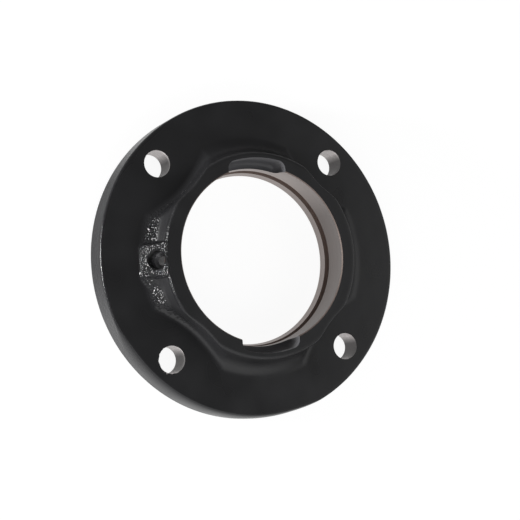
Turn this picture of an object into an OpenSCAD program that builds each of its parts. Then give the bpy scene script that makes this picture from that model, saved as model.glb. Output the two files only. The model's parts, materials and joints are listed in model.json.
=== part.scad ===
// Round flanged housing for a bearing with a ball-shaped outer ring.
// One iron casting: a flat flange with four bolt holes, a raised boss round the seat, two slots that
// let the bearing in on edge, and a slanted pad with a tapped hole that leads grease to the seat.
// The mounting face lies on z = 0, the seat's axis is Z, and the boss points up.

/* [Flange] */
// Outer diameter of the round flange
flange_d = 161.5; // [156:0.5:190]
// Thickness of the flange
flange_t = 15; // [13:0.5:16.5]
// Radius on the rim's front edge
rim_r = 0.75; // [0.5:0.25:4]
// Bevel on the rim's back edge
rim_bevel = 0.4; // [0.2:0.1:2]
// Depth of the ring-shaped relief in the back of the flange
relief_depth = 2.5; // [1:0.25:3]
// Inner diameter of the relief
relief_in_d = 116; // [112:0.5:117]
// Width of the flat ring that the relief leaves at the rim
rim_land = 4.5; // [4:0.25:5]
// Lean of the relief's walls
relief_draft = 10; // [5:1:15]

/* [Bolt holes] */
// Distance from the hole centres to the flange's rim
bolt_edge = 12.75; // [11.5:0.25:15]
// Diameter of one hole
bolt_hole_d = 13.5; // [9:0.5:15]

/* [Seat] */
// Diameter of the ball-shaped seat
seat_d = 90; // [86:0.5:91]
// Height of the seat's centre above the mounting face
seat_h = 17.2; // [16:0.1:19]
// Height of the bevel that opens the seat towards the mounting face
back_bevel = 4.8; // [3:0.1:6]
// Height of the bevel at the seat's front edge
front_bevel = 0.5; // [0.4:0.1:1.5]
// Height of the middle of the grease groove above the mounting face
groove_h = 10.2; // [9:0.1:11]
// Width of the grease groove
groove_w = 3.6; // [2:0.1:4]
// Depth of the grease groove
groove_depth = 1.8; // [1:0.1:2.5]

/* [Boss] */
// Height of the boss's front face above the mounting face
boss_h = 27.5; // [26.5:0.25:29]
// Diameter of the front face, measured to the sharp corner
boss_d = 103; // [102:0.5:106]
// Lean of the boss's wall
boss_draft = 15; // [8:1:20]
// Radius of the fillet at the boss's foot
foot_r = 9; // [4:0.5:10]
// Radius on the front face's outer edge
edge_r = 1.5; // [0.5:0.25:2]

/* [Bolt head clearance] */
// Distance across the boss between two opposite hollows, at the front face
waist_d = 99; // [98:0.5:101]
// Radius of a hollow at the front face
hollow_r = 35; // [28:1:40]
// Lean of a hollow's wall
hollow_draft = 4; // [1:1:10]
// Radius of the fillet at a hollow's foot
hollow_foot_r = 3; // [1:0.5:5]

/* [Loading slots] */
// Width of a slot
slot_w = 31; // [26:0.5:34]
// Distance across the end walls of the two slots
slot_span = 97.4; // [95:0.2:98.4]
// Depth of the slot's floor below the seat's centre
slot_drop = 1; // [0.5:0.1:3]
// Radius in the slot's corners
slot_corner_r = 4; // [2:0.5:6]

/* [Grease port] */
// Angle between the port and the seat's axis
port_tilt = 45; // [40:1:50]
// Distance along the port from the seat to the pad's face
port_reach = 14.6; // [13.5:0.1:15.5]
// Width of the pad along the boss
pad_w = 16.2; // [14:0.2:20]
// Length of the pad down the slope
pad_l = 17.6; // [14:0.2:18]
// Radius on the pad's corners
pad_corner_r = 2; // [0.5:0.25:4]
// Core diameter of the tapped hole
tap_d = 8.6; // [7:0.1:10]
// Depth of the tapped hole
tap_depth = 7; // [5:0.5:7.5]
// Bevel at the tapped hole's mouth
tap_bevel = 0.5; // [0.2:0.1:1]
// Diameter of the passage from the tapped hole to the groove
passage_d = 5; // [3:0.5:6]

/* [Hidden] */
$fn = 180;

// How far a cutting shape stands out past the face that it leaves by
over = 1;
// How far the boss's foot fillet dips under the flange's face, so that it runs out into it
boss_sink = 0.1;
// The same for the fillets of the hollows
hollow_sink = 0.25;
bolt_count = 4;
first_bolt = 45;
slot_angle = 90;
port_angle = 180;

flange_r = flange_d / 2;
bolt_circle_d = flange_d - 2 * bolt_edge;
relief_out_d = flange_d - 2 * rim_land;
seat_r = seat_d / 2;
boss_r = boss_d / 2;
foot_z = flange_t - boss_sink;
hollow_z = flange_t - hollow_sink;
root_z = flange_t / 2;
hollow_x = waist_d / 2 + hollow_r;
slot_r = slot_span / 2;
slot_floor = seat_h - slot_drop;
drill_point = 59;
// Steps that round the front face's outer edge
edge_steps = 4;
// Steps in a full turn of the slots' rounded outline
slot_steps = 72;

// Radius of the ball-shaped seat at height z
function seat_at(z) = sqrt(pow(seat_r, 2) - pow(z - seat_h, 2));
// Radius of the boss's straight wall at height z
function boss_at(z) = boss_r + (boss_h - z) * tan(boss_draft);
// Radius of a hollow's straight wall at height z
function hollow_at(z) = hollow_r - (boss_h - z) * tan(hollow_draft);
// Unit vector at angle a
function along(a) = [cos(a), sin(a)];

// Centre of the arc of radius r that rounds a corner. The two edges leave the corner at the angles
// a and b.
function arc_centre(corner, a, b, r) = corner + r / sin((b - a) / 2) * along((a + b) / 2);
// Distance from a corner to where that arc meets the two edges
function arc_reach(a, b, r) = r / tan((b - a) / 2);

// Points on that arc in n equal steps, from the edge at angle b to the edge at angle a
function arc_points(corner, a, b, r, n) = [
    for (i = [0 : n]) arc_centre(corner, a, b, r) + r * along(b + 90 + i / n * (180 - b + a))
];

// What lies between an outer corner and the arc that rounds it
module spandrel(corner, a, b, r) {
    centre = arc_centre(corner, a, b, r);
    reach = arc_reach(a, b, r);
    difference() {
        polygon([corner, corner + reach * along(a), centre, corner + reach * along(b)]);
        translate(centre) circle(r = r);
    }
}

// Copies the children to every bolt direction
module at_bolts() {
    for (i = [0 : bolt_count - 1])
        rotate(first_bolt + i * 360 / bolt_count) children();
}

// Relief in the flange's back. It leaves two rings that are faced flat, one at the rim and one at the seat.
module back_relief() {
    lean = tan(relief_draft);
    in_r = relief_in_d / 2;
    out_r = relief_out_d / 2;
    rotate_extrude()
        polygon([
            [in_r - over * lean, -over],
            [out_r + over * lean, -over],
            [out_r - relief_depth * lean, relief_depth],
            [in_r + relief_depth * lean, relief_depth]
        ]);
}

// Flange: a disc with a rounded front rim and a bevelled back rim
module flange() {
    rotate_extrude()
        difference() {
            polygon([
                [0, 0],
                [flange_r - rim_bevel, 0],
                [flange_r, rim_bevel],
                [flange_r, flange_t],
                [0, flange_t]
            ]);
            spandrel([flange_r, flange_t], 180, 270, rim_r);
        }
}

// Half section of the boss: a leaning wall, a foot fillet and a rounded front edge
module boss_profile() {
    wall = 90 + boss_draft;
    foot = [boss_at(foot_z), foot_z];
    fillet = arc_centre(foot, 0, wall, foot_r);
    difference() {
        polygon(concat(
            [[0, root_z], [fillet[0], root_z], fillet, foot + arc_reach(0, wall, foot_r) * along(wall)],
            arc_points([boss_r, boss_h], 180, 180 + wall, edge_r, edge_steps),
            [[0, boss_h]]
        ));
        translate(fillet) circle(r = foot_r);
    }
}

// Half section of a hollow, which leaves a fillet where its wall meets the flange
module hollow_profile() {
    wall = 90 - hollow_draft;
    top = boss_h + over;
    difference() {
        polygon([
            [0, hollow_z],
            [hollow_at(hollow_z), hollow_z],
            [hollow_at(top), top],
            [0, top]
        ]);
        spandrel([hollow_at(hollow_z), hollow_z], wall, 180, hollow_foot_r);
    }
}

// Boss with a hollow beside each bolt hole, where the bolt's head and its socket need room
module boss() {
    difference() {
        rotate_extrude() boss_profile();
        at_bolts() translate([hollow_x, 0, 0]) rotate_extrude() hollow_profile();
    }
}

// Puts the children on the grease port: their origin on the pad's face, their z out of its mouth
module at_port() {
    aim = groove_h + groove_w / 2;
    rotate(port_angle)
        translate([seat_at(aim), 0, aim])
            rotate([0, port_tilt, 0])
                translate([0, 0, port_reach]) children();
}

// Rectangle with round corners, centred on the origin
module rounded_rect(size, r) {
    difference() {
        square(size, center = true);
        for (turn = [0, 180])
            rotate(turn) {
                spandrel([size[0] / 2, size[1] / 2], 180, 270, r);
                spandrel([-size[0] / 2, size[1] / 2], 270, 360, r);
            }
    }
}

// Slanted pad that carries the grease port. It stops just under the boss's front face.
module port_pad() {
    depth = port_reach - tap_d / 2;
    intersection() {
        at_port() translate([0, 0, -depth]) linear_extrude(depth) rounded_rect([pad_l, pad_w], pad_corner_r);
        cylinder(r = flange_r, h = boss_h - edge_r / 2);
    }
}

// Tapped hole with a bevelled mouth and a drill point, and the passage from it to the seat
module port_holes() {
    tap_r = tap_d / 2;
    passage_r = passage_d / 2;
    point_h = (tap_r - passage_r) / tan(drill_point);
    at_port() {
        translate([0, 0, -tap_depth]) cylinder(r = tap_r, h = tap_depth + over);
        translate([0, 0, -tap_bevel]) cylinder(r1 = tap_r, r2 = tap_r + tap_bevel + over, h = tap_bevel + over);
        translate([0, 0, -tap_depth - point_h]) cylinder(r1 = passage_r, r2 = tap_r, h = point_h);
        translate([0, 0, -port_reach - over]) cylinder(r = passage_r, h = port_reach);
    }
}

// Seat: the ball, the grease groove in it, and the bevels at its back and front
module seat() {
    back_r = seat_at(back_bevel);
    front_z = boss_h - front_bevel;
    front_r = seat_at(front_z);
    groove_r = seat_at(groove_h) + groove_depth;
    translate([0, 0, seat_h]) sphere(r = seat_r);
    translate([0, 0, groove_h - groove_w / 2]) cylinder(r = groove_r, h = groove_w);
    translate([0, 0, -over]) cylinder(r1 = back_r + back_bevel + over, r2 = back_r, h = back_bevel + over);
    translate([0, 0, front_z])
        cylinder(r1 = front_r, r2 = front_r + front_bevel + over, h = front_bevel + over);
}

// The two loading slots, cut from the front down to just past the seat's centre
module slots() {
    translate([0, 0, slot_floor])
        linear_extrude(boss_h - slot_floor + over)
            offset(r = slot_corner_r, $fn = slot_steps) offset(delta = -slot_corner_r)
                intersection() {
                    circle(r = slot_r, $fn = slot_steps);
                    rotate(slot_angle) square([2 * slot_r, slot_w], center = true);
                }
}

// Bolt holes through the flange
module bolt_holes() {
    at_bolts()
        translate([bolt_circle_d / 2, 0, -over]) cylinder(d = bolt_hole_d, h = flange_t + 2 * over);
}

// The whole casting
module housing() {
    color("#242427")
        difference() {
            union() {
                flange();
                boss();
                port_pad();
            }
            seat();
            slots();
            back_relief();
            bolt_holes();
            port_holes();
        }
}

housing();
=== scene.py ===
# %% [markdown]
# # A cast bearing housing
# The real object is one iron casting: a round flange with four bolt holes, a raised boss with a hollow beside
# each hole, a ball-shaped seat, two loading slots and a slanted pad with a tapped hole. The mould leaves soft
# edges and a grainy skin, paint covers that skin, and cutting tools then leave crisp bare metal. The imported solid
# has the exact sizes. This lesson works the visible surface out again in numpy, so that what was cast is soft and
# what was cut is sharp.

# %% Load the frame
import json
import math

import bpy
import numpy as np
from mathutils import Matrix, Vector


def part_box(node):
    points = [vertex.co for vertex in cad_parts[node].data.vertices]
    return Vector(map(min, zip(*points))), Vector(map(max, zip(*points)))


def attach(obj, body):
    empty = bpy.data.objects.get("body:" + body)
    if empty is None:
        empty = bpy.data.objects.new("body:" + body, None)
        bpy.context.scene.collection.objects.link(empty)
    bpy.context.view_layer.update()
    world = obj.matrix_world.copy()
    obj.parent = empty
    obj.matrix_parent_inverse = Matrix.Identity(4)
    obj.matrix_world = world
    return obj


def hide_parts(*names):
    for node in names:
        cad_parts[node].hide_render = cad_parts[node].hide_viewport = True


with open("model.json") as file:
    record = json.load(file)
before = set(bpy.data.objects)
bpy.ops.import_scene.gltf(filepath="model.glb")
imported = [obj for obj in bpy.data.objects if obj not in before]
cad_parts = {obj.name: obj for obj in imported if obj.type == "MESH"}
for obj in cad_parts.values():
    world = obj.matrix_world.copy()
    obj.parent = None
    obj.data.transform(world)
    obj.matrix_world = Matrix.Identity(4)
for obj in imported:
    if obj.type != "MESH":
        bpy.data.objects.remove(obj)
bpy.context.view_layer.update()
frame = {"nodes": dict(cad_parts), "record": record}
mounts = {mount["name"]: mount for mount in frame["record"]["mounts"]}
print("nodes", sorted(frame["nodes"]), "mounts", sorted(mounts))

# %% [markdown]
# ## Sizes
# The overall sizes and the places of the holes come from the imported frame. The rest are the sizes that a maker
# would read off the drawing of this casting. All of them are in metres, the frame's own unit, so a value in
# millimetres is written as so many times MM.

# %% Sizes of the casting
MM = 0.001
bolt_dims = mounts["bolt_circle"]["dims"]
bolt_circle_r = bolt_dims["pcd_mm"] / 2 * MM
bolt_hole_r = bolt_dims["hole_r_mm"] * MM
bolt_count = bolt_dims["count"]
first_bolt = math.radians(45)
low_corner, high_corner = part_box("housing")
flange_r = high_corner.x
boss_h = high_corner.z
flange_t = 15 * MM
rim_bevel = 0.4 * MM
seat_h = mounts["bearing_seat"]["pos_m"][2]
seat_r = 45 * MM
print(f"flange {2 * flange_r / MM:.1f} mm wide, boss {boss_h / MM:.1f} mm high, seat at {seat_h / MM:.1f} mm")

# %% [markdown]
# ## The camera
# The photograph looks at the front of the housing a little from the left and from below. Here the part lies on
# its flat back, as it comes to rest, so the same view is taken from above. The place was found by matching the
# rims of the flange, the seat and the holes, and the roll is the small lean of the picture.

# %% Camera
camera_place = Vector((-0.2692, -0.0547, 0.5818))
camera_aim = Vector((0.004, -0.00135, 0.0137))
camera_roll = math.radians(-4.74)
camera_data = bpy.data.cameras.new("camera")
camera_data.sensor_width = 36
camera_data.lens = 86.5
camera = bpy.data.objects.new("camera", camera_data)
bpy.context.scene.collection.objects.link(camera)
bpy.context.scene.camera = camera

backward = (camera_place - camera_aim).normalized()
level_right = Vector((0, 1, 0)).cross(backward).normalized()
turn = Matrix((level_right, backward.cross(level_right), backward)).transposed().to_4x4()
camera.matrix_world = Matrix.Translation(camera_place) @ turn @ Matrix.Rotation(camera_roll, 4, "Z")
print("camera", [round(x, 4) for x in camera.location], "lens", camera_data.lens)

# %% [markdown]
# ## Columns round the axis
# The skin is a closed section carried round the seat's axis: one parameter is the angle, the other runs along the
# section. The columns could be evenly spaced, but the slanted pad on the left has small edges that need more of
# them. So a density is summed up over the turn, and the columns stand where equal shares of that sum fall.

# %% Columns
pad_angle = math.pi
pad_half_angle = math.radians(12)
column_count = 640
extra_density = 3.0


def angle_between(a, b):
    """Angle between two directions: their difference brought into the range from -pi to pi, without its sign."""
    return np.abs((a - b + math.pi) % (2 * math.pi) - math.pi)


fine_turn = np.linspace(0, 2 * math.pi, 20001)
density = 1 + extra_density * (angle_between(fine_turn, pad_angle) < pad_half_angle)
share = np.concatenate([[0], np.cumsum(density[1:] + density[:-1])])
share /= share[-1]
theta = np.interp(np.arange(column_count) / column_count, share, fine_turn)
print(f"{column_count} columns, from {np.degrees(np.diff(theta)).min():.2f} to "
      f"{np.degrees(np.diff(theta)).max():.2f} degrees apart")

# %% [markdown]
# ## The boss's wall
# The wall of the boss leans outwards and runs into the flange with a large fillet. Beside each bolt hole a hollow
# leaves room for the bolt's head. On a drawing that is one cone cut by four others, which leaves knife edges. The
# pattern maker rounds those, more at the foot than at the top, and here a soft minimum does it: where two radii
# come close, it dips a little below both.

# %% Outer radius of the boss
boss_r = 51.5 * MM
boss_draft = math.radians(15)
boss_fillet = 9 * MM
hollow_r = 35 * MM
hollow_axis = 49.5 * MM + hollow_r
hollow_draft = math.radians(4)
hollow_fillet = 3 * MM
top_softness = 1.6 * MM
foot_softness = 16 * MM
edge_round = 1.5 * MM
FAR = 1.0


def leaning_wall(z, top_r, draft, fillet, side):
    """Radius of a leaning wall at height z. Straight part: the top radius plus side times the drop from the top
    times the draft's tangent. Below the fillet's tangent point: the fillet centre's radius less side times the
    root of fillet squared minus height above the centre squared. Side is 1 for a boss and -1 for a hollow."""
    straight = top_r + side * (boss_h - z) * math.tan(draft)
    centre_z = flange_t + fillet
    centre_r = top_r + side * ((boss_h - centre_z) * math.tan(draft) + fillet / math.cos(draft))
    round_part = centre_r - side * np.sqrt(np.maximum(fillet**2 - (z - centre_z) ** 2, 0))
    return np.where(z < centre_z - fillet * math.sin(draft), round_part, straight)


def soft_min(a, b, reach):
    """The smaller of a and b, lowered by reach / 4 times the square of how nearly equal they are."""
    nearness = np.maximum(reach - np.abs(a - b), 0) / reach
    return np.minimum(a, b) - nearness**2 * reach / 4


def boss_reach(angle, z):
    """Radius of the boss at an angle and a height: the soft minimum of the leaning wall and the nearest hollow.
    A ray at an angle a from the hollow's axis, which is c away, meets its circle of radius h at
    c cos a - root(h^2 - (c sin a)^2)."""
    spacing = 2 * math.pi / bolt_count
    off_axis = (angle - first_bolt + spacing / 2) % spacing - spacing / 2
    wall = leaning_wall(z, boss_r, boss_draft, boss_fillet, 1)
    circle = leaning_wall(z, hollow_r, hollow_draft, hollow_fillet, -1)
    inside = circle**2 - (hollow_axis * np.sin(off_axis)) ** 2
    hollow = hollow_axis * np.cos(off_axis) - np.sqrt(np.maximum(inside, 0))
    softness = np.interp(z, [flange_t, boss_h], [foot_softness, top_softness])
    return soft_min(wall, np.where(inside > 0, hollow, FAR), softness)


for angle in (0, 22, 45):
    at = np.array([flange_t, 20 * MM, boss_h])
    print(f"boss at {angle} degrees, foot, middle, top:", np.round(boss_reach(math.radians(angle), at) / MM, 1))

# %% [markdown]
# ## The section
# A band is one stretch of the section with one finish, such as the front face or the rim. Each band gives the
# radius and the height of its rows for all columns at once and leaves out its last row, because the next band
# starts there. Rows crowd together in the fillets, where the surface turns fastest. The rim's front edge is nearly
# sharp, but at the lower left of the photograph it is worn round a long way down, so it is a quarter of an ellipse
# whose two half axes change with the angle.

# %% Band helpers
turns = theta[:, None]
bands = []


def add_band(finish, radius, z):
    """Keeps one stretch of the section as two arrays, columns by rows, without its last row."""
    shape = np.broadcast_shapes(np.shape(radius), np.shape(z), (column_count, 1))
    rows = [np.broadcast_to(values, shape)[:, :-1] for values in (radius, z)]
    bands.append((finish, *rows))


def steps(start, end, count):
    """Count equal steps from start to end, both of which may be columns of values."""
    return start + (end - start) * np.linspace(0, 1, count + 1)


def seat_at(z):
    """Radius of the ball at height z: the root of its radius squared minus the height from its centre squared."""
    return np.sqrt(seat_r**2 - (z - seat_h) ** 2)


print(f"ball {seat_at(seat_h) / MM:.1f} mm in radius at its centre")

# %% Worn edge of the rim
sharp_rim = 1.2 * MM
worn_in = 2.0 * MM
worn_down = 10 * MM
worn_side = math.radians(247)
worn_reach = math.radians(47)
worn_fade = math.radians(15)
worn = np.clip((worn_reach - angle_between(turns, worn_side)) / worn_fade, 0, 1)
worn = worn**2 * (3 - 2 * worn)
rim_in = sharp_rim + (worn_in - sharp_rim) * worn
rim_down = sharp_rim + (worn_down - sharp_rim) * worn
print(f"rim edge from {rim_down.min() / MM:.1f} to {rim_down.max() / MM:.1f} mm deep")

# %% Bands of the painted front
front_bevel = 0.5 * MM
front_z = boss_h - front_bevel
mouth_r = seat_at(front_z) + front_bevel
quarter = np.radians(np.linspace(90, 0, 7))
edge_z = boss_h - edge_round * (1 - np.sin(quarter))
edge_r = boss_reach(turns, edge_z) - edge_round * (1 - np.cos(quarter))
fillet_top = flange_t + boss_fillet * (1 - math.sin(boss_draft))
fillet_turn = np.linspace(math.acos(math.sin(boss_draft)), 0, 19)
wall_z = np.append(steps(edge_z[-1], fillet_top, 6)[:-1], flange_t + boss_fillet * (1 - np.cos(fillet_turn)))
foot_r = boss_reach(turns, np.array([flange_t]))
rim_turn = np.radians(np.linspace(90, 0, 11))

add_band("paint", steps(mouth_r, edge_r[:, :1], 6), boss_h)
add_band("paint", edge_r, edge_z)
add_band("paint", boss_reach(turns, wall_z), wall_z)
add_band("paint", steps(foot_r, flange_r - rim_in, 20), flange_t)
add_band("paint", flange_r - rim_in * (1 - np.cos(rim_turn)), flange_t - rim_down * (1 - np.sin(rim_turn)))
add_band("paint", flange_r, steps(flange_t - rim_down, rim_bevel, 8))
print("painted rows", sum(radius.shape[1] for finish, radius, z in bands))

# %% [markdown]
# The back has two rings that are faced flat on a lathe, with a cast relief between them. The same setting turns the
# bevel behind the seat, the lip, the grease groove and the ball itself. These bands don't change with the angle.

# %% Bands of the turned back and seat
relief_depth = mounts["bolt_circle"]["pos_m"][2]
relief_in = np.array([58, 58.44]) * MM
relief_out = np.array([76.25, 75.81]) * MM
back_bevel = 4.8 * MM
bevel_r = seat_at(back_bevel) + back_bevel
groove_low = 8.4 * MM
groove_high = 12 * MM
groove_r = seat_at((groove_low + groove_high) / 2) + 1.8 * MM
lip_z = steps(back_bevel, groove_low, 4)
ball_z = steps(groove_high, front_z, 18)

add_band("paint", steps(flange_r, flange_r - rim_bevel, 2), steps(rim_bevel, 0, 2))
add_band("faced", steps(flange_r - rim_bevel, relief_out[0], 2), 0.0)
add_band("paint", steps(*relief_out, 2), steps(0, relief_depth, 2))
add_band("paint", steps(relief_out[1], relief_in[1], 6), relief_depth)
add_band("paint", steps(*relief_in[::-1], 2), steps(relief_depth, 0, 2))
add_band("faced", steps(relief_in[0], bevel_r, 4), 0.0)
add_band("turned", steps(bevel_r, seat_at(back_bevel), 6), steps(0, back_bevel, 6))
add_band("turned", seat_at(lip_z), lip_z)
add_band("groove", steps(seat_at(groove_low), groove_r, 3), groove_low)
add_band("groove", groove_r, steps(groove_low, groove_high, 4))
add_band("groove", steps(groove_r, seat_at(groove_high), 3), groove_high)
add_band("turned", seat_at(ball_z), ball_z)
add_band("groove", steps(seat_at(front_z), mouth_r, 2), steps(front_z, boss_h, 2))

finishes = ["paint", "slot", "turned", "groove", "faced", "drilled", "tapped"]
row_finish = np.concatenate([np.full(radius.shape[1], finishes.index(finish)) for finish, radius, z in bands])
radius = np.concatenate([band[1] for band in bands], axis=1)
height = np.concatenate([band[2] for band in bands], axis=1)
skin = np.stack([radius * np.cos(turns), radius * np.sin(turns), height], axis=-1)
print("skin grid", skin.shape[:2])

# %% [markdown]
# ## The grease port's pad
# The pad is a slanted block with round edges that grows out of the wall. It could be a second solid joined by a
# boolean, but then the crease round it would be sharp. Seen along its own axis the wall is a height field, so the
# pad is too: each point of the skin is pushed out along that axis up to the pad's face, with a soft maximum at the
# crease.

# %% Pad
port = mounts["grease_port"]
port_axis = np.array(port["axis"])
port_r = port["dims"]["r_mm"] * MM
tap_bevel = 0.5 * MM
port_reach = port["dims"]["length_mm"] / 2 * MM + tap_bevel
pad_centre = np.array(port["pos_m"]) + port_axis * port_reach
pad_across = np.array([0.0, 1.0, 0.0])
pad_down = np.cross(pad_across, port_axis)
pad_half = np.array([8.8, 8.1]) * MM
pad_corner = 2 * MM
pad_edge = 1.3 * MM
pad_end = 3 * MM
pad_end_round = 6 * MM
steep_side = 2.5
gentle_side = 0.8
pad_softness = 2.4 * MM


def rounded_rect_distance(down, across):
    """Distance from the outline of a rectangle with round corners, negative inside it: the length of what lies
    outside the inner rectangle, plus how deep the point is inside that, less the corner's radius."""
    beyond = np.stack([np.abs(down), np.abs(across)], axis=-1) - (pad_half - pad_corner)
    outside = np.linalg.norm(np.maximum(beyond, 0), axis=-1)
    return outside + np.minimum(beyond.max(axis=-1), 0) - pad_corner


def pad_height(down, across):
    """Height of the pad over its own face: 0 inside, less a quarter circle at the edge and a larger one at the low
    end, then a straight side that is steep at the top of the picture and gentle at the bottom."""
    distance = rounded_rect_distance(down, across)
    share = np.clip(distance / pad_edge + 1, 0, 0.9)
    fall = pad_edge * (1 - np.sqrt(1 - share**2))
    slope = np.interp(across, [-pad_half[1], 0], [gentle_side, steep_side])
    end = np.clip((down - pad_end) / pad_end_round, 0, 0.95)
    fall = fall + pad_end_round * (1 - np.sqrt(1 - end**2))
    return -fall - slope * np.maximum(distance + 0.1 * pad_edge, 0)


def soft_max(a, b, reach):
    """The larger of a and b, raised by reach / 4 times the square of how nearly equal they are."""
    return -soft_min(-a, -b, reach)


from_pad = skin - pad_centre
above = from_pad @ port_axis
pad_top = pad_height(from_pad @ pad_down, from_pad @ pad_across)
painted = (row_finish == finishes.index("paint"))[None, :]
near_pad = painted & (skin[..., 0] < 0) & (skin[..., 2] > flange_t / 2)
near_pad = near_pad & (from_pad @ pad_across < 3 * pad_half[1])
lift = np.where(near_pad, soft_max(above, pad_top, pad_softness) - above, 0)
lift = np.where(skin[..., 2] > boss_h - edge_round / 2, 0, lift)
skin = skin + lift[..., None] * port_axis
print(f"pad raised {np.count_nonzero(lift > 0.1 * MM)} points by up to {lift.max() / MM:.1f} mm")

# %% [markdown]
# ## Waves of the mould
# No casting is quite true: gloss paint shows it in the way highlights waver. A few long sine waves in fixed
# directions move the painted skin by some hundredths of a millimetre along its normal, always inwards, so that the
# part never grows past its drawing.

# %% Mould waves
wave_depth = 0.05 * MM
wave_count = 14
random = np.random.default_rng(7)
directions = random.normal(size=(wave_count, 3))
directions /= np.linalg.norm(directions, axis=1, keepdims=True)
wave_lengths = random.uniform(7, 26, wave_count) * MM
phases = random.uniform(0, 2 * math.pi, wave_count)


def mould_wave(points):
    """Mean of sine waves along fixed directions, brought into the range from 0 to 1 by a hyperbolic tangent."""
    waves = np.sin(points @ (directions / wave_lengths[:, None]).T * 2 * math.pi + phases)
    return 0.5 + 0.5 * np.tanh(waves.mean(axis=-1) * 2.5)


def grid_normals(points):
    """Unit normals of a grid that is closed both ways: the cross product of the steps along its two directions."""
    along = np.roll(points, -1, axis=1) - np.roll(points, 1, axis=1)
    around = np.roll(points, -1, axis=0) - np.roll(points, 1, axis=0)
    normals = np.cross(along, around)
    return normals / np.linalg.norm(normals, axis=-1, keepdims=True)


inward = painted & (skin[..., 2] > relief_depth) & (radius > mouth_r + 1 * MM)
skin = skin - (wave_depth * mould_wave(skin) * inward)[..., None] * grid_normals(skin)
print(f"mould waves up to {wave_depth / MM:.2f} mm deep on {np.count_nonzero(inward)} points")

# %% [markdown]
# ## From grid to mesh
# One function turns every grid into a mesh. The columns always close on themselves. The rows either close too, as
# the housing's section does, or end in two flat caps, as the drills and cutters below do.

# %% Grid to mesh
def ring_object(name, points, row_materials=None):
    """A mesh object from points in columns by rows. With row_materials the rows close on themselves and each row
    of faces takes its own material number. Without, both ends are closed by a flat face."""
    columns, rows = points.shape[:2]
    closed = row_materials is not None
    number = np.arange(columns * rows).reshape(columns, rows)
    around = np.roll(number, -1, axis=0)
    if closed:
        corners = [number, np.roll(number, -1, axis=1), np.roll(around, -1, axis=1), around]
    else:
        corners = [number[:, :-1], around[:, :-1], around[:, 1:], number[:, 1:]]
    faces = np.stack(corners, axis=-1).reshape(-1, 4).tolist()
    if not closed:
        faces += [number[::-1, 0].tolist(), number[:, -1].tolist()]
    mesh = bpy.data.meshes.new(name)
    mesh.from_pydata(points.reshape(-1, 3), [], faces)
    if closed:
        mesh.polygons.foreach_set("material_index", np.tile(row_materials, columns).astype(np.int32))
    mesh.update()
    piece = bpy.data.objects.new(name, mesh)
    bpy.context.scene.collection.objects.link(piece)
    return piece


materials = {name: bpy.data.materials.new(name) for name in finishes}
housing = ring_object("housing_casting", skin, row_finish)
for name in finishes:
    housing.data.materials.append(materials[name])
print("skin", len(housing.data.vertices), "points", len(housing.data.polygons), "faces")

# %% [markdown]
# ## Drilling the bolt holes
# A drilled hole is a true cut: its edge is crisp and its wall is bare. So the hole isn't part of the grid but the
# difference with a drill, made by Blender's exact boolean. At one hole the paint has chipped off round the front
# edge. There the drill's radius is frayed over the last tenths of a millimetre.

# %% Bolt holes
drill_columns = 96
chipped_hole = 2
chip_depth = 0.5 * MM
chip_width = 0.9 * MM
chip_side = math.radians(205)
chip_spread = math.radians(70)
overlap = 1 * MM


def cut(body, cutter, finish):
    """Takes a cutter out of the body and gives the new faces the cutter's own finish."""
    cutter.data.materials.append(materials[finish])
    modifier = body.modifiers.new(cutter.name, "BOOLEAN")
    modifier.operation = "DIFFERENCE"
    modifier.solver = "EXACT"
    modifier.material_mode = "TRANSFER"
    modifier.object = cutter
    result = bpy.data.meshes.new_from_object(body.evaluated_get(bpy.context.evaluated_depsgraph_get()))
    body.modifiers.clear()
    body.data = result
    bpy.data.objects.remove(cutter)
    print("cut", finish, "leaves", len(result.polygons), "faces")


def chips(angle):
    """How far the paint is chipped back at an angle: a rough random line, faded out away from the chipped side."""
    rough = np.maximum(random.normal(size=angle.size), 0)
    rough = (rough + np.roll(rough, 1)) / 2
    fade = np.clip(1.5 - angle_between(angle, chip_side) / chip_spread, 0, 1)
    return chip_width * np.clip(rough, 0, 1) * fade


drill_turn = np.arange(drill_columns) / drill_columns * 2 * math.pi
drill_z = np.array([-overlap, flange_t / 2, flange_t - chip_depth, flange_t, flange_t + overlap])
for hole in range(bolt_count):
    frayed = chips(drill_turn) if hole == chipped_hole else np.zeros(drill_columns)
    drill_r = bolt_hole_r + frayed[:, None] * np.clip((drill_z - flange_t + chip_depth) / chip_depth, 0, 1)
    at = first_bolt + hole * 2 * math.pi / bolt_count
    x = bolt_circle_r * math.cos(at) + drill_r * np.cos(drill_turn[:, None])
    y = bolt_circle_r * math.sin(at) + drill_r * np.sin(drill_turn[:, None])
    drill = np.stack([x, y, np.broadcast_to(drill_z, x.shape)], axis=-1)
    cut(housing, ring_object(f"drill_{hole}", drill), "drilled")

# %% [markdown]
# ## The loading slots
# The bearing goes in on edge through two slots and is then turned flat. The slots are cast, so they are painted
# and their edges are round. The cutter is a rounded outline that widens at the top with the curve of the edge and
# narrows at the bottom with the fillet of the floor, so the cut leaves both.

# %% Loading slots
slot_half_w = 15.5 * MM
slot_r = 48.7 * MM
slot_corner = 4 * MM
slot_floor = seat_h - 1 * MM
slot_edge = 0.2 * MM
slot_fillet = 3 * MM


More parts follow.
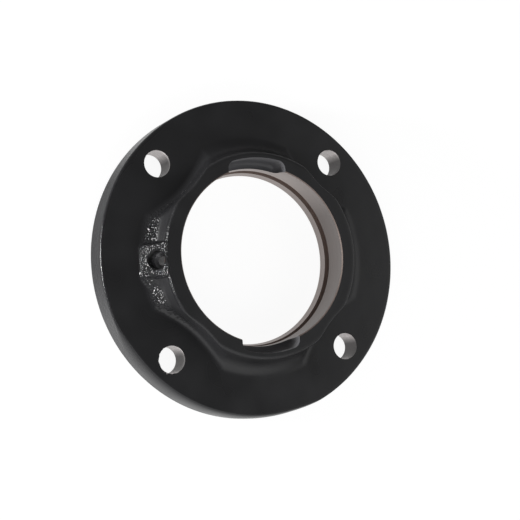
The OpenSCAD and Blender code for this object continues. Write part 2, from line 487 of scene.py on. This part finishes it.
def slot_outline(grow, count):
    """Outline of both slots, grown by a distance: four corner arcs joined by the end walls' large arcs. It is the
    circle of the corner's radius carried round a smaller shape: a corner centre lies one radius inside both the
    straight side and the end wall."""
    centre_x = slot_half_w - slot_corner
    centre_y = math.sqrt((slot_r - slot_corner) ** 2 - centre_x**2)
    meet = math.atan2(centre_y, centre_x)
    corner_turn = np.linspace(0, meet, count)
    corner_x = centre_x + (slot_corner + grow) * np.cos(corner_turn)
    corner_y = centre_y + (slot_corner + grow) * np.sin(corner_turn)
    wall_turn = np.linspace(meet, math.pi / 2, count)[1:]
    x = np.concatenate([corner_x, (slot_r + grow) * np.cos(wall_turn)])
    y = np.concatenate([corner_y, (slot_r + grow) * np.sin(wall_turn)])
    right = np.stack([np.concatenate([x, x[-2::-1] * -1]), np.concatenate([y, y[-2::-1]])], axis=-1)
    return np.concatenate([right, -right])


low_turn = np.radians(np.linspace(90, 0, 5))
floor_fillet = [(-slot_fillet * (1 - math.cos(a)), slot_floor + slot_fillet * (1 - math.sin(a))) for a in low_turn]
top_edge = [(slot_edge * (1 - math.cos(a)), boss_h - slot_edge * (1 - math.sin(a))) for a in low_turn[::-1]]
slot_rows = floor_fillet + top_edge + [(slot_edge, boss_h + overlap)]
slot = [np.column_stack([outline, np.full(len(outline), z)])
        for outline, z in ((slot_outline(grow, 14), z) for grow, z in slot_rows)]
cut(housing, ring_object("slot_cutter", np.stack(slot, axis=1)), "slot")

# %% [markdown]
# ## The tapped hole
# The grease nipple screws into a hole with a fine thread, and a narrow passage leads on to the groove. The tap is
# a surface of its own: a radius that depends on the angle and the depth. Along the thread it rises and falls once
# for each turn, and since it also moves forward with the angle, the ridge becomes a helix.

# %% Tapped hole
tap_columns = 48
tap_depth = 7 * MM
thread_pitch = 1 * MM
thread_height = 0.4 * MM
passage_r = 2.5 * MM
passage_end = 15.6 * MM
drill_point = (port_r - passage_r) / math.tan(math.radians(59))

tap_turn = np.arange(tap_columns)[:, None] / tap_columns * 2 * math.pi
deep = np.array([-passage_end, -tap_depth - drill_point])
thread_rows = np.linspace(-tap_depth, -tap_bevel, 60)
depth = np.concatenate([deep, thread_rows, [overlap]])
ridge = np.abs((depth / thread_pitch - tap_turn / (2 * math.pi)) % 1 * 2 - 1)
runs_out = np.clip((depth + tap_depth) / thread_pitch, 0, 1)
core = np.interp(depth, [-tap_depth - drill_point, -tap_depth], [passage_r, port_r])
threaded = np.where(depth > -tap_depth, core + thread_height * ridge * runs_out, core)
mouth = port_r + np.maximum(depth + tap_bevel, 0)
tap_r = np.maximum(threaded, np.broadcast_to(mouth, threaded.shape) * (depth > -tap_bevel))
tap = (pad_centre + depth[:, None] * port_axis
       + (tap_r * np.cos(tap_turn))[..., None] * pad_down + (tap_r * np.sin(tap_turn))[..., None] * pad_across)
cut(housing, ring_object("tap", tap), "tapped")

# %% [markdown]
# ## Soft and sharp edges
# Smooth shading hides the facets of the grid, but it must stop at the edges that a tool has cut. Blender can mark
# every edge where two faces meet at more than a given angle. The piece then takes the place of the plain solid.

# %% Finish the mesh
sharp_angle = math.radians(32)
housing.data.shade_smooth()
housing.data.set_sharp_from_angle(angle=sharp_angle)
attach(housing, "root")
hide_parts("housing")
triangles = sum(len(face.vertices) - 2 for face in housing.data.polygons)
print("housing", triangles, "triangles", [material.name for material in housing.data.materials])

# %% [markdown]
# ## Where the skin is rough
# The flange's face came out of the mould nearly smooth, but round the pad and on the rim beside it sand has stuck
# to the iron. A number at each point of the mesh says how rough the skin is there, and the paint reads it later.
# It could be painted by hand in Blender. Working it out from the height, the radius and the angle keeps it exact.

# %% Rough skin
rough_boss = np.radians([183, 45])
rough_rim = np.radians([172, 60])
smooth_share = 0.01
foot_strip = 5 * MM
edge_strip = 2 * MM
rim_strip = 1.6 * MM
edge_share = 0.5
rim_share = 0.25


def rough_skin(points):
    """Share of rough skin from 0 to 1. Beside the pad it is full on the foot of the boss's wall, half on the edge of
    its front and a quarter on the last stretch of the rim. It fades with the angle. The pad is rough all over, and
    everywhere else a small share is left."""
    x, y, z = points.T
    away = [angle_between(np.arctan2(y, x), side) / reach for side, reach in (rough_boss, rough_rim)]
    by_boss, by_rim = [np.clip(1.6 - 1.6 * share, 0, 1) for share in away]
    foot = np.clip((z - flange_t) / (1 * MM), 0, 1) * np.clip((flange_t + foot_strip - z) / (2 * MM), 0, 1)
    edge = np.clip((z - boss_h + edge_strip) / (0.5 * MM), 0, 1) * np.clip((boss_h - z) / (0.3 * MM), 0, 1)
    rim = np.clip((np.hypot(x, y) - flange_r + rim_strip) / (0.6 * MM), 0, 1)
    from_face = points - pad_centre
    outside = rounded_rect_distance(from_face @ pad_down, from_face @ pad_across)
    pad = np.clip(1 - outside / (1 * MM), 0, 1) * (x < 0) * np.clip((boss_h - z) / (0.6 * MM), 0, 1)
    rough = np.maximum.reduce([by_boss * foot, by_boss * edge_share * edge, by_rim * rim_share * rim, pad])
    return smooth_share + (1 - smooth_share) * rough


places = np.empty(3 * len(housing.data.vertices))
housing.data.vertices.foreach_get("co", places)
rough = rough_skin(places.reshape(-1, 3))
housing.data.attributes.new("rough", "FLOAT", "POINT").data.foreach_set("value", rough.astype(np.float32))
print(f"rough skin on {np.count_nonzero(rough > 0.5)} of {rough.size} points")

# %% [markdown]
# ## Shared finishes
# Two effects come back in several materials: the grain that sand leaves in a casting, and the rings that a lathe
# leaves. Each is a node group with its own sockets, built once. A grain could be any noise, but only a dome mirrors
# a lamp as one sharp dot, as the photograph shows, so each grain is a dome.

# %% Node helpers
def place(tree, kind, **values):
    """Adds a node and sets its unlinked sockets by name, with an underscore for a space."""
    node = tree.nodes.new(kind)
    for name, value in values.items():
        node.inputs[name.replace("_", " ")].default_value = value
    return node


def maths(tree, operation, first, second):
    """A Math node on two values, each of which may be a socket or a number."""
    node = tree.nodes.new("ShaderNodeMath")
    node.operation = operation
    for socket, value in zip(node.inputs, (first, second)):
        if isinstance(value, bpy.types.NodeSocket):
            tree.links.new(value, socket)
        else:
            socket.default_value = value
    return node.outputs[0]


def map_range(tree, value, start, end, low=0, high=1):
    """Carries a value from the range start to end onto the range low to high, and stops at both ends."""
    node = place(tree, "ShaderNodeMapRange", From_Min=start, From_Max=end, To_Min=low, To_Max=high)
    tree.links.new(value, node.inputs["Value"])
    return node.outputs[0]


def axes_of(tree, vector):
    """The X, Y and Z sockets of a vector."""
    node = tree.nodes.new("ShaderNodeSeparateXYZ")
    tree.links.new(vector, node.inputs[0])
    return node.outputs


def group_tree(name, inputs, outputs):
    """An empty node group with the named sockets, and its input and output nodes."""
    tree = bpy.data.node_groups.new(name, "ShaderNodeTree")
    for socket, kind in inputs.items():
        tree.interface.new_socket(socket, in_out="INPUT", socket_type=kind)
    for socket, kind in outputs.items():
        tree.interface.new_socket(socket, in_out="OUTPUT", socket_type=kind)
    return tree, tree.nodes.new("NodeGroupInput"), tree.nodes.new("NodeGroupOutput")


VECTOR, FLOAT = "NodeSocketVector", "NodeSocketFloat"

# %% Sand grain of a casting
grain_per_metre = 980
lump_per_metre = 230


def sand_grain():
    """Height of a sand-cast skin: one small dome for each grain, which is 1 less the square of the distance from
    the grain's middle, plus a share of coarser lumps."""
    tree, inside, outside = group_tree("sand_grain", {"Vector": VECTOR, "Lumps": FLOAT}, {"Height": FLOAT})
    grains = place(tree, "ShaderNodeTexVoronoi", Scale=grain_per_metre)
    lumps = place(tree, "ShaderNodeTexNoise", Scale=lump_per_metre, Detail=2)
    tree.links.new(inside.outputs["Vector"], grains.inputs["Vector"])
    tree.links.new(inside.outputs["Vector"], lumps.inputs["Vector"])
    from_middle = grains.outputs["Distance"]
    domes = maths(tree, "SUBTRACT", 1, maths(tree, "MULTIPLY", from_middle, from_middle))
    coarse = maths(tree, "MULTIPLY", lumps.outputs[0], inside.outputs["Lumps"])
    tree.links.new(maths(tree, "ADD", domes, coarse), outside.inputs["Height"])
    return tree


grain_group = sand_grain()
print("node group", grain_group.name, len(grain_group.nodes), "nodes")

# %% Rings of a lathe
def lathe_rings():
    """Rings about the axis: noise that reads only the radius and the height, so it is the same all the way round."""
    tree, inside, outside = group_tree("lathe_rings", {"Vector": VECTOR, "Scale": FLOAT}, {"Height": FLOAT})
    x, y, z = axes_of(tree, inside.outputs["Vector"])
    squares = maths(tree, "ADD", maths(tree, "MULTIPLY", x, x), maths(tree, "MULTIPLY", y, y))
    section = tree.nodes.new("ShaderNodeCombineXYZ")
    tree.links.new(maths(tree, "SQRT", squares, 0), section.inputs["X"])
    tree.links.new(z, section.inputs["Z"])
    rings = place(tree, "ShaderNodeTexNoise", Detail=3, Roughness=0.6)
    tree.links.new(section.outputs[0], rings.inputs["Vector"])
    tree.links.new(inside.outputs["Scale"], rings.inputs["Scale"])
    tree.links.new(rings.outputs[0], outside.inputs["Height"])
    return tree


rings_group = lathe_rings()
print("node group", rings_group.name, len(rings_group.nodes), "nodes")

# %% Material helpers
noise_low, noise_high = 0.3, 0.7


def new_tree(material):
    """Empties a material and puts a Principled shader in it. Gives its tree, the shader and Object coordinates."""
    material.use_nodes = True
    tree = material.node_tree
    tree.nodes.clear()
    shader = tree.nodes.new("ShaderNodeBsdfPrincipled")
    output = tree.nodes.new("ShaderNodeOutputMaterial")
    tree.links.new(shader.outputs[0], output.inputs["Surface"])
    return tree, shader, tree.nodes.new("ShaderNodeTexCoord").outputs["Object"]


def use_group(tree, group, vector, **values):
    """A group node in a material, fed with coordinates. Gives its height."""
    node = tree.nodes.new("ShaderNodeGroup")
    node.node_tree = group
    tree.links.new(vector, node.inputs["Vector"])
    for name, value in values.items():
        node.inputs[name].default_value = value
    return node.outputs["Height"]


def ramp(tree, factor, *stops):
    """A colour ramp with the given positions and colours."""
    node = tree.nodes.new("ShaderNodeValToRGB")
    while len(node.color_ramp.elements) < len(stops):
        node.color_ramp.elements.new(0.5)
    for element, (position, colour) in zip(node.color_ramp.elements, stops):
        element.position = position
        element.color = (*colour, 1)
    tree.links.new(factor, node.inputs[0])
    return node.outputs[0]


def bump(tree, shader, height, distance):
    """Feeds a height, in units of the distance, to the shader's normal."""
    node = place(tree, "ShaderNodeBump", Strength=1, Distance=distance)
    tree.links.new(height, node.inputs["Height"])
    tree.links.new(node.outputs[0], shader.inputs["Normal"])


# %% [markdown]
# ## Gloss black paint
# The casting is painted black before it is machined. The flange's face is glossy, the boss above it a little duller,
# the slots a lighter grey, and grains of sand show through near the pad. One flat black would look like plastic. So a
# slow noise moves the shade and the gloss, the height dulls the boss, and the number stored in the mesh lets the
# grain through.

# %% Gloss black paint
patches_per_metre = 55
blue_tint = 1.08
boss_dullness = 0.12
dull_rise = 3 * MM
grain_gloss = 0.32
grain_lumps = 0.3
grain_height = 0.5 * MM


def black_paint(name, dark, light, smooth, dull):
    """Paint over a sand-cast skin: nearly black between two shades, with a roughness from smooth to dull that grows a
    little on the boss, and with a glossy grain where the skin is rough."""
    tree, shader, at = new_tree(materials[name])
    patches = place(tree, "ShaderNodeTexNoise", Scale=patches_per_metre, Detail=1)
    tree.links.new(at, patches.inputs["Vector"])
    dark_black, light_black = [(shade, shade, blue_tint * shade) for shade in (dark, light)]
    colour = ramp(tree, patches.outputs[0], (0, dark_black), (1, light_black))
    tree.links.new(colour, shader.inputs["Base Color"])
    shader.inputs["Specular IOR Level"].default_value = 0.4
    attribute = tree.nodes.new("ShaderNodeAttribute")
    attribute.attribute_name = "rough"
    rough_share = attribute.outputs["Fac"]
    duller = map_range(tree, axes_of(tree, at)["Z"], flange_t, flange_t + dull_rise, 0, boss_dullness)
    satin = maths(tree, "ADD", map_range(tree, patches.outputs[0], 0, 1, smooth, dull), duller)
    gloss = maths(tree, "MULTIPLY", rough_share, grain_gloss)
    tree.links.new(maths(tree, "SUBTRACT", satin, gloss), shader.inputs["Roughness"])
    grain = use_group(tree, grain_group, at, Lumps=grain_lumps)
    bump(tree, shader, maths(tree, "MULTIPLY", grain, rough_share), grain_height)


black_paint("paint", 0.01, 0.024, 0.21, 0.41)
black_paint("slot", 0.05, 0.09, 0.22, 0.48)
print("paint nodes", len(materials["paint"].node_tree.nodes))

# %% [markdown]
# ## Turned metal
# The seat, its groove and the back are cut on a lathe after painting, so they are bare iron with fine rings. A film
# of oil could be a shader of its own, but the export reads one shader for each material. On the seat and on the
# bevel at its mouth the colour carries painted shade: a number from 0 to 1, the shade's share, multiplies the colour
# by a shade.

# %% Turned metal
def add_painted_shade(tree, shader, colour, shade_share, shade):
    """Puts painted shade over a colour: where the shade's share is 1, the colour is multiplied by the shade."""
    node = tree.nodes.new("ShaderNodeMix")
    node.data_type = "RGBA"
    node.blend_type = "MULTIPLY"
    node.inputs["B"].default_value = (shade, shade, shade, 1)
    tree.links.new(shade_share, node.inputs["Factor"])
    tree.links.new(colour, node.inputs["A"])
    tree.links.new(node.outputs["Result"], shader.inputs["Base Color"])


def bare_metal(tree, shader, marks, dark, light, roughness, height):
    """Bare iron with the marks of a tool, a noise that moves its colour, its roughness and its height."""
    colour = ramp(tree, marks, (noise_low, dark), (noise_high, light))
    tree.links.new(colour, shader.inputs["Base Color"])
    tree.links.new(map_range(tree, marks, noise_low, noise_high, *roughness), shader.inputs["Roughness"])
    bump(tree, shader, marks, height)
    return colour


def turned(name, rings_per_metre, metallic, dark, light, roughness, height):
    """Iron as the lathe left it, with rings. Gives its tree, shader, place and colour."""
    tree, shader, at = new_tree(materials[name])
    rings = use_group(tree, rings_group, at, Scale=rings_per_metre)
    shader.inputs["Metallic"].default_value = metallic
    return tree, shader, at, bare_metal(tree, shader, rings, dark, light, roughness, height)


def painted_shade_on_seat(tree, shader, at, colour):
    """Paints shade on the seat from just under the upper slot downwards, and less on the lip behind the groove."""
    x, y, z = axes_of(tree, at)
    low = map_range(tree, y, 40 * MM, 20 * MM)
    ball = map_range(tree, z, groove_low, groove_high, 0.3)
    add_painted_shade(tree, shader, colour, maths(tree, "MULTIPLY", low, ball), 0.5)


def painted_shade_on_bevel(tree, shader, at, colour):
    """Paints shade on the bevel at the seat's mouth, which has the groove's finish, so that it mirrors less light."""
    add_painted_shade(tree, shader, colour, map_range(tree, axes_of(tree, at)["Z"], groove_high, front_z), 0.5)


# Painted shade on the lower seat and on the bevel at the seat's mouth.
painted_shade_on_seat(*turned("turned", 2600, 1, (0.38, 0.335, 0.32), (0.5, 0.45, 0.43), (0.3, 0.42), 0.02 * MM))
painted_shade_on_bevel(*turned("groove", 1500, 0.4, (0.28, 0.21, 0.18), (0.42, 0.34, 0.31), (0.4, 0.6), 0.03 * MM))
turned("faced", 1400, 1, (0.32, 0.31, 0.3), (0.46, 0.45, 0.44), (0.32, 0.48), 0.03 * MM)
print("turned nodes", len(materials["turned"].node_tree.nodes))

# %% [markdown]
# ## Drilled and tapped walls
# A drill leaves streaks, not rings about the seat's axis, so the holes have a plain fine noise. In the photograph the
# bolt holes are bright on one side and dark on the other, and the tapped hole is dark inside. Both are painted shade
# here, worked out from the place alone, so they stay where they are in every view.

# %% Drilled and tapped walls
streaks_per_metre = 700
shaded_side = (0.94, -0.34)


def drilled_wall(name, dark, light):
    """A drilled or tapped wall: bare iron with streaks from the chips. Gives its tree, shader, place and colour."""
    tree, shader, at = new_tree(materials[name])
    streaks = place(tree, "ShaderNodeTexNoise", Scale=streaks_per_metre, Detail=3)
    tree.links.new(at, streaks.inputs["Vector"])
    shader.inputs["Metallic"].default_value = 0.5
    return tree, shader, at, bare_metal(tree, shader, streaks.outputs[0], dark, light, (0.3, 0.45), 0.03 * MM)


def painted_shade_in_holes(tree, shader, at, colour):
    """Paints shade on one side of each bolt hole: a place less its hole's centre, which has the signs of the place
    itself, is measured along the direction of that side."""
    bolt_at = bolt_circle_r * math.cos(first_bolt)
    parts = []
    for value, share in zip(axes_of(tree, at), shaded_side):
        centre = maths(tree, "MULTIPLY", maths(tree, "SIGN", value, 0), bolt_at)
        parts.append(maths(tree, "MULTIPLY", maths(tree, "SUBTRACT", value, centre), share))
    shade_share = map_range(tree, maths(tree, "ADD", *parts), 0.35 * bolt_hole_r, 0.85 * bolt_hole_r)
    add_painted_shade(tree, shader, colour, shade_share, 0.15)


def painted_shade_in_tap(tree, shader, at, colour):
    """Paints shade into the tapped hole, lightest at the drill point. The place is measured along the hole's axis,
    from 2 mm under the thread up to the pad's face."""
    along = tree.nodes.new("ShaderNodeVectorMath")
    along.operation = "DOT_PRODUCT"
    along.inputs[1].default_value = port_axis
    tree.links.new(at, along.inputs[0])
    face = float(pad_centre @ port_axis)
    height = map_range(tree, along.outputs["Value"], face - tap_depth - 2 * MM, face)
    weak_shade, full_shade = (0.3, 0.3, 0.3), (1, 1, 1)
    shade_share = ramp(tree, height, (0.04, full_shade), (0.12, weak_shade), (0.22, weak_shade), (0.65, full_shade))
    add_painted_shade(tree, shader, colour, shade_share, 0.08)


# Painted shade on one side of each bolt hole and deep in the tapped hole.
painted_shade_in_holes(*drilled_wall("drilled", (0.75, 0.7, 0.69), (0.98, 0.94, 0.93)))
painted_shade_in_tap(*drilled_wall("tapped", (0.25, 0.25, 0.26), (0.4, 0.4, 0.42)))
print("materials", [material.name for material in housing.data.materials])

# %% [markdown]
# ## Floor, lamps and world
# The part lies on a plain pale floor. Rays from the camera see it as white paper, dimmed a little by the shadow
# that falls on it. Mirror images in metal and gloss paint show it at half that strength, and darker at the upper
# left, where the rim shades it. All other rays see plain grey paper, so the floor doesn't light the part. The lamps
# stand where the photograph's highlights say they are: a small bright one low on the left, and wide dim ones in front
# and on the right.

# %% Floor
floor_half = 6.0
floor_gap = 0.05 * MM
floor_mesh = bpy.data.meshes.new("floor")
corners = floor_half * np.array([(-1, -1), (1, -1), (1, 1), (-1, 1)])
floor_mesh.from_pydata([(x, y, -floor_gap) for x, y in corners], [], [(0, 1, 2, 3)])
floor = bpy.data.objects.new("floor", floor_mesh)
bpy.context.scene.collection.objects.link(floor)
print("floor", 2 * floor_half, "m wide")

# %% Paper of the floor
white_share = 0.8
mirror_share = 0.55
shade_centre = (-0.125, 0.035, 0)
shade_start, shade_end = 0.055, 0.08


def white_paper():
    """Matt paper mixed with a white glow. The glow's share is white_share for rays from the camera, and for mirrored
    rays it grows with the distance from the shade's centre up to mirror_share."""
    paper = bpy.data.materials.new("paper")
    paper.use_nodes = True
    tree = paper.node_tree
    tree.nodes.clear()
    light_path = tree.nodes.new("ShaderNodeLightPath")
    seen = light_path.outputs["Is Camera Ray"]
    tone = tree.nodes.new("ShaderNodeMix")
    tone.data_type = "RGBA"
    tone.inputs["A"].default_value = (0.8, 0.8, 0.8, 1)
    tone.inputs["B"].default_value = (0.9, 0.9, 0.9, 1)
    tree.links.new(seen, tone.inputs["Factor"])
    matt = tree.nodes.new("ShaderNodeBsdfDiffuse")
    tree.links.new(tone.outputs["Result"], matt.inputs["Color"])
    glow = place(tree, "ShaderNodeEmission", Color=(1, 1, 1, 1), Strength=1.15)
    from_shade = tree.nodes.new("ShaderNodeVectorMath")
    from_shade.operation = "DISTANCE"
    from_shade.inputs[1].default_value = shade_centre
    tree.links.new(tree.nodes.new("ShaderNodeTexCoord").outputs["Object"], from_shade.inputs[0])
    bright = map_range(tree, from_shade.outputs["Value"], shade_start, shade_end, 0, mirror_share)
    mirrored = maths(tree, "MULTIPLY", light_path.outputs["Is Glossy Ray"], bright)
    share = maths(tree, "ADD", maths(tree, "MULTIPLY", seen, white_share), mirrored)
    mixed = tree.nodes.new("ShaderNodeMixShader")
    for source, socket in zip((share, matt.outputs[0], glow.outputs[0]), mixed.inputs):
        tree.links.new(source, socket)
    output = tree.nodes.new("ShaderNodeOutputMaterial")
    tree.links.new(mixed.outputs[0], output.inputs["Surface"])
    return paper


floor_mesh.materials.append(white_paper())
print("floor material", floor_mesh.materials[0].name)

# %% Lamps and world
def soft_lamp(name, place_at, width, height, radiance):
    """An oblong area lamp turned towards the part. Its power is the radiance times pi times its area."""
    lamp = bpy.data.lights.new(name, "AREA")
    lamp.shape = "RECTANGLE"
    lamp.size = width
    lamp.size_y = height
    lamp.energy = radiance * math.pi * width * height
    piece = bpy.data.objects.new(name, lamp)
    piece.location = place_at
    piece.rotation_euler = Vector(place_at).to_track_quat("Z", "Y").to_euler()
    bpy.context.scene.collection.objects.link(piece)


soft_lamp("left_lamp", (-0.8, 0.08, 0.1), 0.13, 0.1, 200)
soft_lamp("front_lamp", (-0.1, -0.9, 0.55), 1.8, 1.0, 1.0)
soft_lamp("right_lamp", (0.95, -0.1, 0.75), 0.9, 0.9, 0.8)

world = bpy.data.worlds.new("studio")
bpy.context.scene.world = world
world.use_nodes = True
world.node_tree.nodes["Background"].inputs["Color"].default_value = (1, 1, 1, 1)
world.node_tree.nodes["Background"].inputs["Strength"].default_value = 0.2
bpy.context.scene.view_settings.view_transform = "Standard"
print("lamps", [light.name for light in bpy.data.lights])
